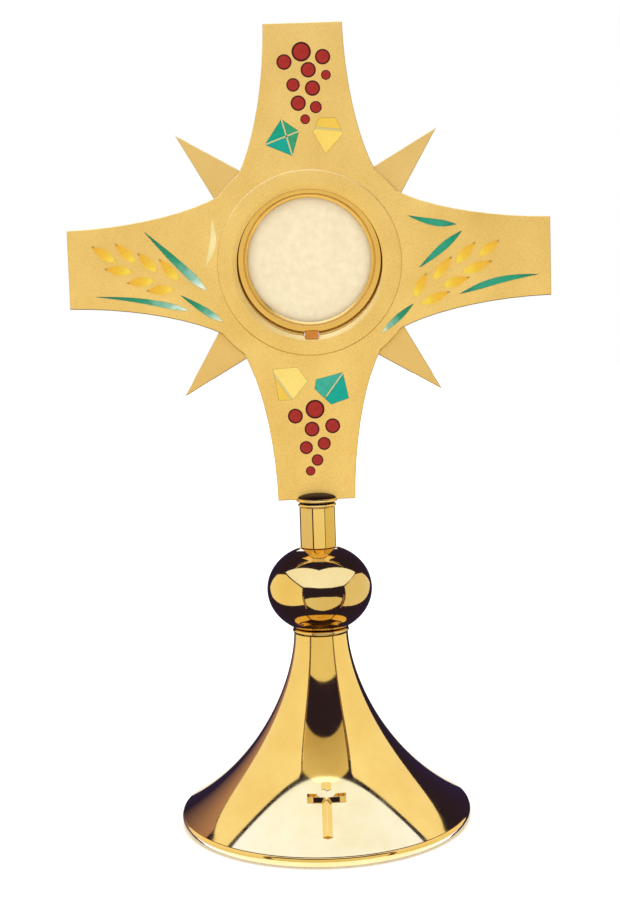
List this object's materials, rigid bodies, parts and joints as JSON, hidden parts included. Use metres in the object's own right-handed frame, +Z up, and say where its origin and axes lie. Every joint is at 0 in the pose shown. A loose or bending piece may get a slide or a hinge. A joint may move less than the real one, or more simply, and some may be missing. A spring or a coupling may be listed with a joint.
{
  "type": "monstrance",
  "caption": "Standing monstrance: bell foot, round knop and stem under an enamelled cross plate with pointed rays and a removable hinged glass luna.",
  "frame": {"origin": "middle of the foot's underside", "axes": "+Z up along the stem, +Y from the front of the cross to its back, +X to the right seen from the front"},
  "size_m": [0.265, 0.163, 0.4409],
  "materials": {
    "polished_gold": "mirror-polished gilding",
    "satin_gold": "fine matt gilding",
    "plain_brass": "turned, ungilded",
    "steel": "machined",
    "cast_iron": "as cast, painted",
    "felt": "dark green felt",
    "glass": "clear, polished",
    "wafer": "matt, fine-grained",
    "copper": "copper-coloured",
    "grape_enamel": "dark red vitreous enamel",
    "green_enamel": "green vitreous enamel",
    "turquoise_enamel": "turquoise vitreous enamel",
    "yellow_enamel": "pale yellow vitreous enamel"
  },
  "bodies": {
    "root": {"ballast_weight": "cast_iron", "base_cover": "plain_brass", "base_emblem": "polished_gold", "bezel_ring": "satin_gold", "collar": "polished_gold", "cross_plate": "satin_gold", "felt_pad": "felt", "foot_rim_ring": "polished_gold", "foot_shell": "polished_gold", "grape_bottom_1": "grape_enamel", "grape_bottom_2": "grape_enamel", "grape_bottom_3": "grape_enamel", "grape_bottom_4": "grape_enamel", "grape_bottom_5": "grape_enamel", "grape_bottom_6": "grape_enamel", "grape_bottom_7": "grape_enamel", "grape_bottom_8": "grape_enamel", "grape_top_1": "grape_enamel", "grape_top_10": "grape_enamel", "grape_top_2": "grape_enamel", "grape_top_3": "grape_enamel", "grape_top_4": "grape_enamel", "grape_top_5": "grape_enamel", "grape_top_6": "grape_enamel", "grape_top_7": "grape_enamel", "grape_top_8": "grape_enamel", "grape_top_9": "grape_enamel", "knop": "polished_gold", "knop_sleeve": "plain_brass", "leaf_bottom_turquoise": "turquoise_enamel", "leaf_bottom_yellow": "yellow_enamel", "leaf_top_green": "green_enamel", "leaf_top_yellow": "yellow_enamel", "luna_housing": "satin_gold", "neck_bushing": "plain_brass", "neck_ring": "polished_gold", "plate_screw_left": "steel", "plate_screw_right": "steel", "ray_lower_left": "satin_gold", "ray_lower_right": "satin_gold", "ray_upper_left": "satin_gold", "ray_upper_right": "satin_gold", "spring_clip_left": "plain_brass", "spring_clip_right": "plain_brass", "stem_bush": "plain_brass", "stem_tube": "polished_gold", "tie_rod": "steel", "tie_rod_nut": "steel", "tie_rod_washer": "steel"},
    "luna": {"luna_front_ring": "polished_gold", "front_crystal": "glass", "host_wafer": "wafer", "lunette_clip": "plain_brass", "luna_hinge_pin": "steel"},
    "luna_back": {"luna_back_ring": "polished_gold", "back_crystal": "glass", "clasp_tongue": "copper"}
  },
  "joints": [
    {"name": "luna_slide", "type": "slide", "parent": "root", "child": "luna", "axis": [0, 1, 0], "range_m": [0, 0.04]},
    {"name": "luna_back_hinge", "type": "hinge", "parent": "luna", "child": "luna_back", "pos_m": [0, 0.0081, 0.35541], "axis": [1, 0, 0], "range_deg": [0, 100]}
  ]
}
